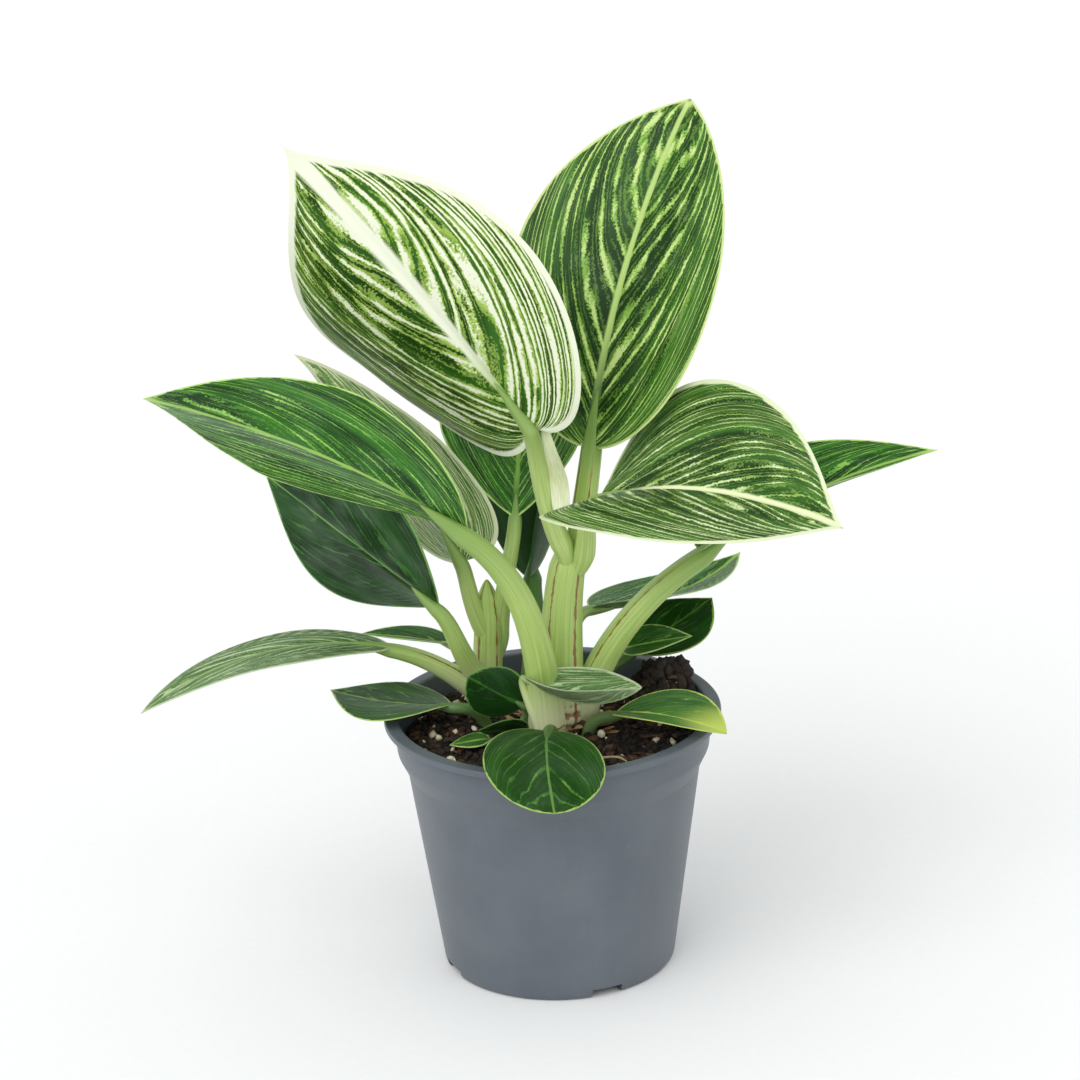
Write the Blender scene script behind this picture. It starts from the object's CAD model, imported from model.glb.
# %% [markdown]
# # A striped philodendron in a grower's pot
#
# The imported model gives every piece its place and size. This script keeps those sizes and gives
# the plant a finer skin: each leaf, stem and sheath is worked out again from the same few numbers,
# as a smooth surface with veins, and the soil becomes a rough bed of crumbs, bark and white grains.
# Lengths are typed in millimetres and turned to metres once, where a mesh is made.

# %% Load the frame
import math

import bpy
import numpy as np
from mathutils import Matrix, Vector


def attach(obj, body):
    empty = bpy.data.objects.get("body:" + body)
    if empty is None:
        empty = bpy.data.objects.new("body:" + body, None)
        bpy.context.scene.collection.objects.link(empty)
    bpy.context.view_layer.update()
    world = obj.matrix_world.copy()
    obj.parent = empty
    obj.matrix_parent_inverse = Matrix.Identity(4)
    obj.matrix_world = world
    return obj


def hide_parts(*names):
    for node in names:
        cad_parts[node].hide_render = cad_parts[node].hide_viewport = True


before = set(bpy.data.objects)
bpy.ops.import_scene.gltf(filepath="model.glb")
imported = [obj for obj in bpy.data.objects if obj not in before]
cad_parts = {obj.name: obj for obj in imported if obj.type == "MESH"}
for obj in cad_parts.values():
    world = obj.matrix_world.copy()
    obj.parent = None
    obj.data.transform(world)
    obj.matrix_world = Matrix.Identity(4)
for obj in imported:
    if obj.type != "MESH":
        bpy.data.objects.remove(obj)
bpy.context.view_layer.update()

MM = 0.001


# %% [markdown]
# ## Camera
#
# The plant is seen from the front, a little from above, from far enough away that its leaves
# hardly change size with depth: a long lens at 1.4 m. The camera leans a little to one side, as
# a hand-held one does, so the pot's axis is not quite upright in the view.

# %% The camera
TARGET = np.array([-2.4, 0, 159])
CAMERA_DISTANCE = 1400
CAMERA_ELEVATION = math.radians(20.2)
CAMERA_ROLL = math.radians(-1.9)
LENS = 133.3


def make_camera():
    """The camera's back axis points from the target to it, and roll turns its right and up axes."""
    back = np.array([0, -math.cos(CAMERA_ELEVATION), math.sin(CAMERA_ELEVATION)])
    right = np.array([1.0, 0, 0])
    up = np.cross(back, right)
    c, s = math.cos(CAMERA_ROLL), math.sin(CAMERA_ROLL)
    columns = np.stack([c * right + s * up, c * up - s * right, back], axis=1)
    data = bpy.data.cameras.new("camera")
    data.lens = LENS
    camera = bpy.data.objects.new("camera", data)
    camera.matrix_world = Matrix.Translation(Vector((TARGET + back * CAMERA_DISTANCE) * MM)) @ (
        Matrix(columns.tolist()).to_4x4())
    bpy.context.scene.collection.objects.link(camera)
    bpy.context.scene.camera = camera
    return camera


camera = make_camera()
print("camera at", [round(c, 3) for c in camera.matrix_world.translation])


# %% [markdown]
# ## Making a mesh from a grid
#
# Nearly every new piece is a surface of two numbers: one goes once round it and one along it. A
# function gives all the points at once as arrays, and one helper turns the grid into a mesh. Its
# first and last rows are single points, so nothing is left open. Two named attributes go with
# the points, so that a finish can follow the piece's own veins and edges wherever it bends.

# %% Grid helpers
def unit(v):
    """A vector, or an array of them, divided by its length."""
    return v / np.linalg.norm(v, axis=-1, keepdims=True)


def new_piece(name, verts, faces, slots=None, **attributes):
    """A mesh object from points in millimetres, faces, material slots and point attributes."""
    mesh = bpy.data.meshes.new(name)
    mesh.from_pydata((np.asarray(verts) * MM).tolist(), [], faces)
    mesh.polygons.foreach_set("use_smooth", np.ones(len(mesh.polygons), bool))
    if slots is not None:
        mesh.polygons.foreach_set("material_index", np.asarray(slots, np.int32))
    for key, values in attributes.items():
        layer = mesh.attributes.new(key, "FLOAT_VECTOR", "POINT")
        layer.data.foreach_set("vector", np.asarray(values, np.float32).ravel())
    mesh.update()
    piece = bpy.data.objects.new(name, mesh)
    bpy.context.scene.collection.objects.link(piece)
    return piece


def flat_rows(grid):
    """Points of a grid [row, column] as a list in which the first and last rows are one point."""
    return np.concatenate([grid[0, :1], grid[1:-1].reshape(-1, 3), grid[-1, :1]])


def closed_faces(rows, around, start=0):
    """Faces of such a list: fans of triangles at the two poles and quads between.

    Point (i, j) is number 1 + i * around + j; the quad from it goes to the next column, the next
    row of that, and back. start is the number of the first point in a larger mesh."""
    inner = rows - 2
    i, j = np.meshgrid(np.arange(inner - 1), np.arange(around), indexing="ij")
    k = (j + 1) % around
    quads = 1 + np.stack([i * around + j, i * around + k, (i + 1) * around + k, (i + 1) * around + j], -1)
    j = np.arange(around)
    k = (j + 1) % around
    last = 1 + (inner - 1) * around
    first_fan = np.stack([0 * j, 1 + k, 1 + j], -1)
    last_fan = np.stack([0 * j + last + around, last + j, last + k], -1)
    parts = [quads.reshape(-1, 4), first_fan, last_fan]
    columns = np.concatenate([np.tile(j, inner - 1), j, j])
    return [face for part in parts for face in (part + start).tolist()], columns


def rounded_ends(v):
    """Share of the full radius at v: 1 in the middle and 0 at 0 and 1, by a tenth-power curve."""
    return np.sqrt(np.clip(1 - np.abs(2 * v - 1) ** 10, 0, 1))


def tube_grid(centres, wide, thick, side, around):
    """Points round a path: centre + wide * cos(a) * right + thick * sin(a) * up.

    right is side made square to the path; up is the path's direction crossed with it."""
    forward = unit(np.gradient(centres, axis=0))
    up = unit(np.cross(np.broadcast_to(side, centres.shape), forward))
    right = np.cross(forward, up)
    a = 2 * np.pi * np.arange(around) / around
    grid = (centres[:, None]
            + (wide * np.ones(len(centres)))[:, None, None] * np.cos(a)[None, :, None] * right[:, None]
            - (thick * np.ones(len(centres)))[:, None, None] * np.sin(a)[None, :, None] * up[:, None])
    return grid, a


def smooth_route(points, v):
    """Points at shares v of a curve through all the given points (a Catmull-Rom curve)."""
    p = np.asarray(points, float)
    p = np.concatenate([[2 * p[0] - p[1]], p, [2 * p[-1] - p[-2]]])
    place = np.clip(v, 0, 1) * (len(points) - 1)
    i = np.minimum(place.astype(int), len(points) - 2)
    t = (place - i)[:, None]
    a, b, c, d = p[i], p[i + 1], p[i + 2], p[i + 3]
    return 0.5 * (2 * b + (c - a) * t + (2 * a - 5 * b + 4 * c - d) * t ** 2
                  + (3 * b - a - 3 * c + d) * t ** 3)


def ripple(points, scale, seed):
    """Smooth noise, about -1 to 1: the mean of sines along eight random directions."""
    chance = np.random.default_rng(seed)
    waves = chance.normal(size=(8, 3)) / scale
    return np.sin(points @ waves.T * 2 * np.pi / 3 + chance.uniform(0, 6.3, 8)).mean(axis=-1) * 2


print("grid helpers ready")


# %% [markdown]
# ## The leaves' sizes
#
# A leaf is a blade on a stalk. `base` is where they meet. `heading`, `rise` and `roll` turn the
# blade there; `droop`, `sweep` and `twist` bend it over its length; `fold` and `curl`, right side
# then left, lift each half. `outline`, `lobe` and `skew` shape its margin. `root`, `leave` and
# `arrive` lead the stalk from the stem to the blade, and `widths` are its diameters at both ends.
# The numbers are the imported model's own, so every finer leaf lies where its solid does; only the
# stalk of leaf_crown_right is drawn thinner here.

# %% The table of leaves
LEAVES = [
    dict(name="leaf_upper_left", base=(-4, -12, 204), length=131, width=93,
         heading=173, rise=54, roll=-66, droop=10, sweep=-1, twist=-44,
         fold=(-3, 4), curl=(49, -9), outline=(0.64, 1.49, 1.9), lobe=0.11, skew=0.09,
         root=(5, 4, 156), leave=(-7, -3, 18), arrive=3, widths=(8, 5.5),
         finish="cream"),
    dict(name="leaf_top", base=(16, 6, 191), length=129, width=82,
         heading=56, rise=75, roll=-7, droop=29, sweep=8, twist=9,
         fold=(10, 14), curl=(4, 10), outline=(0.67, 0.88, 1.4), lobe=0.03, skew=0.03,
         root=(11, 10, 152), leave=(2, 0, 12), arrive=12, widths=(10, 7.5),
         finish="lime"),
    dict(name="leaf_right", base=(18, -14, 179), length=98, width=88,
         heading=-45, rise=25, roll=-11, droop=49, sweep=-19, twist=-19,
         fold=(16, 4), curl=(-8, 57), outline=(0.42, 1.27, 2.5), lobe=0.1, skew=0.02,
         root=(13, 4, 152), leave=(2, -4, 11), arrive=9, widths=(8, 5),
         finish="silver"),
    dict(name="leaf_left", base=(-28, -22, 171), length=123, width=66,
         heading=189, rise=38, roll=-37, droop=17, sweep=9, twist=-6,
         fold=(17, 21), curl=(-29, 2), outline=(0.71, 1.1, 1.9), lobe=0, skew=0.04,
         root=(-2, -6, 92), leave=(-1, -3, 34), arrive=26, widths=(14, 7.5),
         finish="lined"),
    dict(name="leaf_far_right", base=(54, 10, 149), length=94, width=47,
         heading=15, rise=27, roll=5, droop=20, sweep=-1, twist=-12,
         fold=(21, 28), curl=(8, 6), outline=(0.61, 1.19, 1.2), lobe=0.03, skew=-0.01,
         root=(11, 6, 93), leave=(8, 0, 26), arrive=22, widths=(12, 8),
         finish="lined"),
    dict(name="leaf_right_slim", base=(15, 36, 119), length=80, width=39,
         heading=27, rise=-11, roll=18, droop=-30, sweep=-24, twist=-8,
         fold=(14, 18), curl=(-12, 2), outline=(0.59, 1.1, 0.9), lobe=0, skew=0.07,
         root=(4, 16, 92), leave=(2, 8, 14), arrive=8, widths=(6, 4),
         finish="lined"),
    dict(name="leaf_right_small", base=(26, 22, 108), length=26, width=20,
         heading=-10, rise=15, roll=-10, droop=6, sweep=-4, twist=-3,
         fold=(13, 17), curl=(1, -2), outline=(0.58, 1.08, 0.8), lobe=0.01, skew=0.03,
         root=(12, 18, 84), leave=(3, 2, 12), arrive=8, widths=(5, 3),
         finish="edged"),
    dict(name="leaf_right_back", base=(29, 32, 102), length=42, width=35,
         heading=36, rise=15, roll=-11, droop=1, sweep=-7, twist=-3,
         fold=(14, 5), curl=(-4, -2), outline=(0.64, 1.11, 1.3), lobe=0, skew=0.04,
         root=(12, 24, 84), leave=(5, 4, 12), arrive=8, widths=(5, 3.5),
         finish="rayed"),
    dict(name="leaf_low_left", base=(-57, 12, 116), length=95, width=34,
         heading=186, rise=14, roll=3, droop=50, sweep=-6, twist=5,
         fold=(-1, 3), curl=(-16, 8), outline=(0.61, 0.95, 1.2), lobe=0.01, skew=0.04,
         root=(-22, 20, 90), leave=(-12, -1, 12), arrive=14, widths=(10, 5.5),
         finish="greyed"),
    dict(name="leaf_low_left_back", base=(-35, 40, 105), length=35, width=18,
         heading=167, rise=6, roll=-5, droop=4, sweep=-2, twist=6,
         fold=(13, 15), curl=(1, 6), outline=(0.61, 1.02, 1.1), lobe=0, skew=0,
         root=(-24, 36, 84), leave=(-1, 2, 10), arrive=6, widths=(5, 3.5),
         finish="edged"),
    dict(name="leaf_mid_left", base=(-39, 8, 132), length=78, width=64,
         heading=165, rise=36, roll=-47, droop=-4, sweep=7, twist=-20,
         fold=(5, 4), curl=(-22, 16), outline=(0.75, 1.13, 1.6), lobe=0, skew=0.03,
         root=(-25, 18, 100), leave=(-8, -4, 10), arrive=8, widths=(9, 5.5),
         finish="glossy"),
    dict(name="leaf_left_pale", base=(-30, 24, 143), length=96, width=67,
         heading=170, rise=58, roll=-47, droop=7, sweep=8, twist=16,
         fold=(15, 23), curl=(-27, -15), outline=(0.49, 0.89, 1.1), lobe=0.05, skew=0.01,
         root=(-24, 26, 116), leave=(-5, -1, 12), arrive=4, widths=(7, 5.5),
         finish="pale"),
    dict(name="leaf_centre_back", base=(-11, 18, 161), length=63, width=57,
         heading=85, rise=41, roll=-2, droop=10, sweep=3, twist=4,
         fold=(25, 26), curl=(-2, -4), outline=(0.79, 0.89, 1.9), lobe=0, skew=-0.07,
         root=(-18, 30, 112), leave=(1, 0, 18), arrive=13, widths=(7, 5),
         finish="lined"),
    dict(name="leaf_centre_dark", base=(-7, 34, 132), length=50, width=55,
         heading=57, rise=72, roll=28, droop=0, sweep=0, twist=0,
         fold=(15, 15), curl=(0, 0), outline=(0.78, 0.55, 1), lobe=0, skew=0,
         root=(-10, 30, 82), leave=(8, 2, 34), arrive=8, widths=(8, 7),
         finish="dark"),
    dict(name="leaf_crown_round", base=(-10, -8, 100), length=25, width=21,
         heading=200, rise=32, roll=-69, droop=-3, sweep=-6, twist=-10,
         fold=(7, 13), curl=(-6, -1), outline=(0.64, 0.81, 1.3), lobe=0.04, skew=0.06,
         root=(-12, 0, 84), leave=(0, -2, 8), arrive=5, widths=(4, 3),
         finish="dark"),
    dict(name="leaf_crown_right", base=(-9, -10, 111), length=53, width=29,
         heading=-34, rise=-25, roll=-9, droop=-66, sweep=-6, twist=2,
         fold=(51, 26), curl=(-13, 1), outline=(0.59, 0.88, 1.3), lobe=0, skew=0,
         root=(-3, -12, 84), leave=(-4, 0, 16), arrive=5, widths=(3.4, 2.6),
         finish="greyed"),
    dict(name="leaf_rim_right", base=(22, -9, 96), length=45, width=32,
         heading=-28, rise=14, roll=-2, droop=27, sweep=6, twist=-3,
         fold=(16, 13), curl=(6, -4), outline=(0.61, 0.94, 1.6), lobe=0, skew=-0.01,
         root=(12, -4, 84), leave=(1, -1, 9), arrive=6, widths=(5, 4),
         finish="tipped"),
    dict(name="leaf_rim_front", base=(-2, -35, 101), length=51, width=42,
         heading=-94, rise=5, roll=1, droop=31, sweep=-12, twist=2,
         fold=(5, -4), curl=(0, 0), outline=(0.6, 0.55, 1.2), lobe=0.09, skew=0.05,
         root=(1, -17, 83), leave=(0, -2, 12), arrive=10, widths=(5, 4),
         finish="rayed"),
    dict(name="leaf_rim_left", base=(-36, -1, 98), length=46, width=42,
         heading=167, rise=-5, roll=-14, droop=-16, sweep=8, twist=12,
         fold=(3, 5), curl=(8, -18), outline=(0.65, 1.14, 1.7), lobe=0, skew=-0.04,
         root=(-23, 6, 84), leave=(-2, 0, 8), arrive=8, widths=(5, 4),
         finish="edged"),
    dict(name="leaf_crown_low", base=(-9, -14, 93), length=18, width=17,
         heading=190, rise=5, roll=-45, droop=0, sweep=0, twist=0,
         fold=(5, 5), curl=(0, 0), outline=(0.6, 1.1, 1.2), lobe=0.05, skew=0,
         root=(-6, -15, 83), leave=(0, 0, 4), arrive=4, widths=(3, 2.5),
         finish="dark"),
    dict(name="leaf_seedling", base=(-22, -14, 90), length=15, width=12,
         heading=183, rise=-6, roll=2, droop=0, sweep=0, twist=0,
         fold=(5, 5), curl=(0, 0), outline=(0.6, 1.1, 1.2), lobe=0, skew=0,
         root=(-17, -14, 84), leave=(0, 0, 3), arrive=3, widths=(2.5, 1.8),
         finish="edged"),
]
# These leaves turned over as they opened, so their patterned side is the one the stalk runs up.
OVERTURNED = {"leaf_upper_left", "leaf_left", "leaf_mid_left", "leaf_left_pale", "leaf_crown_round",
              "leaf_crown_low"}
# The relief of a full-sized blade, in mm: the groove over the midrib, how far it reaches to each
# side, and the quilting between the side veins, with the number of its waves from base to tip.
GROOVE_DEPTH = 0.8
GROOVE_REACH = 1.5
QUILT_LIFT = 0.13
QUILT_WAVES = 15
print(len(LEAVES), "leaves, the longest", max(leaf["length"] for leaf in LEAVES), "mm")


# %% [markdown]
# ## The shape of a blade
#
# The midrib is an arc: it bends at a steady rate about one axis, so its points have a closed
# form. Across it, each half of the blade is another arc. A leaf's side veins leave the midrib low
# down and sweep forward to the margin, so the grid follows them: `m` picks a vein and `w` runs
# along it, from the midrib, 0, to the margin, 1 on the right and -1 on the left.

# %% Midrib and margin
VEIN_LEAN = 2.2
LOBE_PEAK = 0.238  # the lobe's curve, square root of m times (1 - m)^3, is this at its highest


def turned(v, axis, angle):
    """v turned about a unit axis by an angle: v cos + (axis x v) sin + axis (axis . v)(1 - cos)."""
    c, s = np.cos(angle)[..., None], np.sin(angle)[..., None]
    along = np.sum(v * axis, axis=-1)[..., None]
    return v * c + np.cross(axis, v) * s + axis * along * (1 - c)


def base_frame(leaf):
    """Directions at the blade's base: along the midrib, right of it, and up out of the blade."""
    h, e, r = (math.radians(leaf[key]) for key in ("heading", "rise", "roll"))
    along = np.array([math.cos(h) * math.cos(e), math.sin(h) * math.cos(e), math.sin(e)])
    right = turned(np.array([math.sin(h), -math.cos(h), 0]), along, np.array(-r))
    return along, right, np.cross(right, along)


def midrib(leaf, x):
    """Point and frame at shares x of the midrib.

    The part of its direction along the bending axis runs straight; the rest turns in a circle."""
    along, right, up = base_frame(leaf)
    axis = -math.radians(leaf["droop"]) * right - math.radians(leaf["sweep"]) * up
    bend = max(float(np.linalg.norm(axis)), 1e-6)
    axis = axis / bend
    s = np.clip(x, 0, 1)
    kept = axis * (axis @ along)
    turning = along - kept
    side = np.cross(axis, turning)
    a = (bend * s)[..., None]
    point = np.array(leaf["base"]) + leaf["length"] * (
        kept * s[..., None] + (turning * np.sin(a) + side * (1 - np.cos(a))) / bend)
    along, right, up = (turned(np.broadcast_to(v, point.shape), axis, bend * s) for v in (along, right, up))
    point = point + along * (leaf["length"] * np.minimum(x, 0))[..., None]
    twist = -math.radians(leaf["twist"]) * s
    return point, along, turned(right, along, twist), turned(up, along, twist)


def margin(leaf, m):
    """Place along the midrib and half width, as a share, where vein m reaches the margin.

    The width is m^a (1 - m^c)^b over its largest value; the lobes draw the place back at the base."""
    a, b, c = leaf["outline"]
    steps = np.linspace(0, 1, 101)
    widest = (steps ** a * (1 - steps ** c) ** b).max()
    width = m ** a * np.clip(1 - m ** c, 0, 1) ** b / widest
    return m - leaf["lobe"] * np.sqrt(m) * (1 - m) ** 3 / LOBE_PEAK, width


print("widest place of the first leaf:", round(float(margin(LEAVES[0],
                                                            np.linspace(0, 1, 50))[1].argmax() / 49), 2))


# %% Surface of a blade
def blade_place(leaf, x, y, lift):
    """A point x along the midrib, y across in half widths, lift out of the surface.

    A half is an arc that starts at the fold angle and bends by the curl angle: its chord is
    y times the sine of half its bend over that half, and lies half the bend above the fold."""
    point, along, right, up = midrib(leaf, x)
    left = (y < 0).astype(int)
    side = np.where(y < 0, -1, 1)
    fold = np.radians(leaf["fold"])[left]
    curl = np.radians(leaf["curl"])[left]
    across = np.abs(y)
    bow = curl * across / 2
    chord = leaf["width"] / 2 * across * np.sinc(bow / np.pi)
    slope = fold + curl * across
    sideways = side * (chord * np.cos(fold + bow) - lift * np.sin(slope))
    upward = chord * np.sin(fold + bow) + lift * np.cos(slope)
    return point + right * sideways[..., None] + up * upward[..., None]


def vein_grid(leaf, m, w):
    """x and y of the point w along vein m, a curve with one control point on each side vein.

    It starts at m to the power VEIN_LEAN along the midrib and ends on the margin."""
    end, width = margin(leaf, m)
    start = m ** VEIN_LEAN
    t = np.abs(w)
    side = np.where(w < 0, -1, 1)
    edge = width * (1 + side * leaf["skew"])
    bend = start + 0.45 * (end - start)
    x = (1 - t) ** 2 * start + 2 * t * (1 - t) * bend + t ** 2 * end
    return x, side * (2 * t * (1 - t) * 0.62 * edge + t ** 2 * edge)


def margin_distance(leaf, x, y):
    """Millimetres from each point to the nearest point of the margin, with the blade laid flat."""
    m = np.linspace(0, 1, 161)
    best = np.full(x.shape, 1e9)
    for side in (-1, 1):
        ex, ey = vein_grid(leaf, m, np.full(m.shape, float(side)))
        dx = (x[..., None] - ex) * leaf["length"]
        dy = (y[..., None] - ey) * leaf["width"] / 2
        best = np.minimum(best, np.sqrt(dx ** 2 + dy ** 2).min(axis=-1))
    return best


def stripe_place(m, w):
    """Which stripe a point lies on: stripes leave the midrib and cross the veins forward.

    Stripe r is at vein r + S h (1 - r) when h of the way out, so r = (m - S h) / (1 - S h). Those
    with r below 0 start at the base, and would crowd at the margin, so r becomes r / (1 + Q |r|)."""
    h = STRIPE_START * np.abs(w) + (1 - STRIPE_START) * w ** 2
    r = (m - STRIPE_LEAN * h) / (1 - STRIPE_LEAN * h)
    return np.where(r < 0, r / (1 + BASE_SQUEEZE * np.abs(r)), r)


STRIPE_LEAN = 0.75
STRIPE_START = 1.15
BASE_SQUEEZE = 0.6
BLADE_HALF = 0.35
print("a blade is", 2 * BLADE_HALF, "mm thick")


# %% [markdown]
# ## A whole leaf
#
# Blade and stalk are grown as one, so they are one mesh with three materials: the blade's upper side, its
# paler underside, and the stalk. The upper side is pressed in along the midrib, which stands out below, and
# is very slightly quilted between the side veins; the margin waves a little. A broad stalk is hollowed
# along its upper face, where it clasped the next leaf.

# %% The stems' routes
STEMS = {  # points from the ground up, and diameters evenly spaced along
    "main_stem": ([(2, 5, 72), (3, 5, 95), (5, 8, 132), (9, 9, 157)], (19, 18, 17, 15.5, 14, 13, 8)),
    "second_stem": ([(-24, 26, 74), (-23, 26, 98), (-22, 28, 119), (-22, 29, 134)],
                    (13, 12, 11, 10.5, 10, 8, 3)),
}


def heel_start(root):
    """Where a stalk's heel begins: on the nearer stem's middle, 14 mm lower than the stalk's root.

    A root in the soil has no stem to lean on, so its heel starts 5 mm straight below it."""
    if root[2] < 90:
        return root - [0, 0, 5]
    route = np.array(STEMS["main_stem" if root[0] > -15 else "second_stem"][0], float)
    low = root[2] - 14
    return np.array([np.interp(low, route[:, 2], route[:, 0]), np.interp(low, route[:, 2], route[:, 1]),
                     low])


print("stems reach", [spec[0][-1][2] for spec in STEMS.values()], "mm")


# %% Blade and stalk points
def blade_grid(leaf, rows, around, seed):
    """The blade's points and its two attributes, as grids [vein, round the section].

    Round the section w goes 1 to -1 below and back above, close together at midrib and margin:
    w = sign (1 - cos(pi t)) / 2 with t from 0 at the midrib to 1 at the margin."""
    turn = np.arange(around) / around
    t = np.abs(4 * (turn % 0.5) - 1)
    side = np.where((turn < 0.25) | (turn > 0.75), 1.0, -1.0)
    below = turn < 0.5
    w = side * (1 - np.cos(np.pi * t)) / 2
    m, w = np.meshgrid(np.linspace(0, 1, rows), w, indexing="ij")
    x, y = vein_grid(leaf, m, w)
    from_midrib = np.abs(y) * leaf["width"] / 2
    from_margin = margin_distance(leaf, x, y)
    stripe = stripe_place(m, w)
    size = min(1.0, leaf["length"] / 90)
    flank = np.sin(np.pi * np.clip(m, 0, 1)) ** 0.5
    lift = np.where(below, -1, 1) * BLADE_HALF * np.sqrt(np.clip(1 - np.abs(w) ** 8, 0, 1)) * flank
    quilting = np.sin(2 * np.pi * QUILT_WAVES * stripe)
    lift += QUILT_LIFT * size * quilting * flank * np.sin(np.pi * np.abs(w)) ** 0.6
    groove = np.exp(-(from_midrib / (GROOVE_REACH * size)) ** 2) * (1 - m) ** 0.4
    lift += (GROOVE_DEPTH if leaf["name"] in OVERTURNED else -GROOVE_DEPTH) * size * groove
    wave = ripple(np.stack([x * leaf["length"], 20 * np.sign(y), 0 * x], -1), 26, seed)
    lift += 0.6 * size * wave * np.abs(y) ** 3 * flank
    grid = blade_place(leaf, x, y, lift)
    vein = np.stack([stripe, w, m], -1)
    edge = np.stack([from_margin, from_midrib, np.full(x.shape, float(seed))], -1)
    return grid, vein, edge


def stalk_grid(leaf, rows, around):
    """The stalk's points: a heel out of the stem, a curve with two handles to the blade, and a rib.

    The radius shrinks with the 0.7th power of the way along, and to 0.8 mm at the rib's end. t is
    the way along the heel, a curve whose one handle lies straight behind the root."""
    along, right, up = base_frame(leaf)
    wide, narrow = leaf["widths"]
    end = np.array(leaf["base"]) - up * narrow / 4
    root = np.array(leaf["root"], float)
    handles = [root, root + leaf["leave"], end - along * leaf["arrive"], end]
    heel = rows // 7
    v = np.concatenate([np.zeros(heel), np.linspace(0, 1, rows - heel)])
    t = np.concatenate([np.arange(heel) / heel, np.ones(rows - heel)])[:, None]
    s = np.minimum(v / 0.8, 1)[:, None]
    curve = ((1 - s) ** 3 * handles[0] + 3 * s * (1 - s) ** 2 * handles[1]
             + 3 * s ** 2 * (1 - s) * handles[2] + s ** 3 * handles[3])
    behind = root - 7 * unit(np.array(leaf["leave"], float))
    lead_in = (1 - t) ** 2 * heel_start(root) + 2 * t * (1 - t) * behind + t ** 2 * root
    rib = np.clip((v - 0.8) / 0.2, 0, 1)
    point, _, _, up_here = midrib(leaf, rib * RIB_SHARE)
    centres = np.where((v < 0.8)[:, None], curve, point - up_here * (narrow / 4 * (1 - rib))[:, None])
    centres = np.where(t < 1, lead_in, centres)
    radius = (wide + (narrow - wide) * s[:, 0] ** 0.7) / 2
    radius = (radius + (0.8 - radius) * rib) * (0.7 + 0.3 * t[:, 0])
    radius = radius * rounded_ends(np.linspace(0, 1, rows))
    grid, a = tube_grid(centres, radius, radius, right, around)
    above = np.cos(a + np.pi / 2)
    channel = 1 - 0.16 * np.exp(-((1 - above) / 0.12)) * (wide > 8)
    centre = centres[:, None]
    grid = centre + (grid - centre) * channel[None, :, None]
    travel = np.concatenate([[0], np.cumsum(np.linalg.norm(np.diff(centres, axis=0), axis=1))])
    ring = np.ones((rows, 1)) * a
    place = np.stack([np.cos(ring) * wide, np.sin(ring) * wide, travel[:, None] + 0 * ring], -1)
    way = np.stack([v[:, None] + 0 * ring, 9 + 0 * ring, np.sin(ring)], -1)
    return grid, place, way


RIB_SHARE = 0.16


# %% Make the leaves
def make_leaf(leaf, seed):
    """Joins the two grids in one mesh; slot 0 is the blade's top, 1 its underside, 2 the stalk."""
    large = leaf["length"] > 60
    rows, around = (113, 96) if large else (65, 64)
    blade, vein, edge = blade_grid(leaf, rows, around, seed)
    long_rows, ring = (70, 32) if large else (44, 20)
    stalk, place, way = stalk_grid(leaf, long_rows, ring)
    blade_points = flat_rows(blade)
    faces, columns = closed_faces(rows, around)
    more, _ = closed_faces(long_rows, ring, len(blade_points))
    slots = np.concatenate([(columns < around // 2).astype(int), np.full(len(more), 2)])
    return new_piece(leaf["name"].replace("leaf", "grown_leaf"),
                     np.concatenate([blade_points, flat_rows(stalk)]), faces + more, slots,
                     first_place=np.concatenate([flat_rows(vein), flat_rows(place)]),
                     second_place=np.concatenate([flat_rows(edge), flat_rows(way)]))


leaf_pieces = {leaf["name"]: make_leaf(leaf, seed) for seed, leaf in enumerate(LEAVES)}
print("leaves made:", {name: len(p.data.polygons) for name, p in list(leaf_pieces.items())[:3]})


# %% [markdown]
# ## Stems and sheaths
#
# The stems are short and thick, and ringed near the ground where old leaves stood. A sheath is the papery
# strap that wraps a new leaf: the youngest is still cream and soft, older ones have dried to brown flakes
# round the crown. Stems are round tubes with rings; sheaths are flat tubes, bent like a gutter.

# %% Stems
SHEATHS = {
    "cream_sheath": ([(6, -4, 168), (5, -6, 184), (2, -10, 197), (0, -11, 207)], (7, 7, 5, 2)),
}


def make_stem(name, route, widths):
    """A round tube, a little thinner at each scar ring: r (1 - 0.06 e^(-(d / 0.8)^2)).

    The rings stand 4 mm apart near the ground, where old leaves fell, and stop above it."""
    v = np.linspace(0, 1, 121)
    centres = smooth_route(route, v)
    travel = np.concatenate([[0], np.cumsum(np.linalg.norm(np.diff(centres, axis=0), axis=1))])
    radius = np.interp(v, np.linspace(0, 1, len(widths)), widths) / 2
    from_ring = np.abs((travel + 1) % 4 - 2) + np.clip(travel - SCAR_HEIGHT, 0, None)
    radius = radius * (1 - 0.06 * np.exp(-(from_ring / 0.8) ** 2)) * rounded_ends(v)
    grid, a = tube_grid(centres, radius, radius, np.array([1.0, 0, 0]), 48)
    ring = np.ones((len(v), 1)) * a
    place = np.stack([np.cos(ring) * widths[0], np.sin(ring) * widths[0], travel[:, None] + 0 * ring], -1)
    way = np.stack([0.4 * v[:, None] + 0 * ring, from_ring[:, None] + 0 * ring, np.sin(ring)], -1)
    faces, _ = closed_faces(len(v), 48)
    return new_piece(name, flat_rows(grid), faces, None,
                     first_place=flat_rows(place), second_place=flat_rows(way))


SCAR_HEIGHT = 24
stem_pieces = {key: make_stem("grown_" + key, *spec) for key, spec in STEMS.items()}
print("stems made:", list(stem_pieces))


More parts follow.
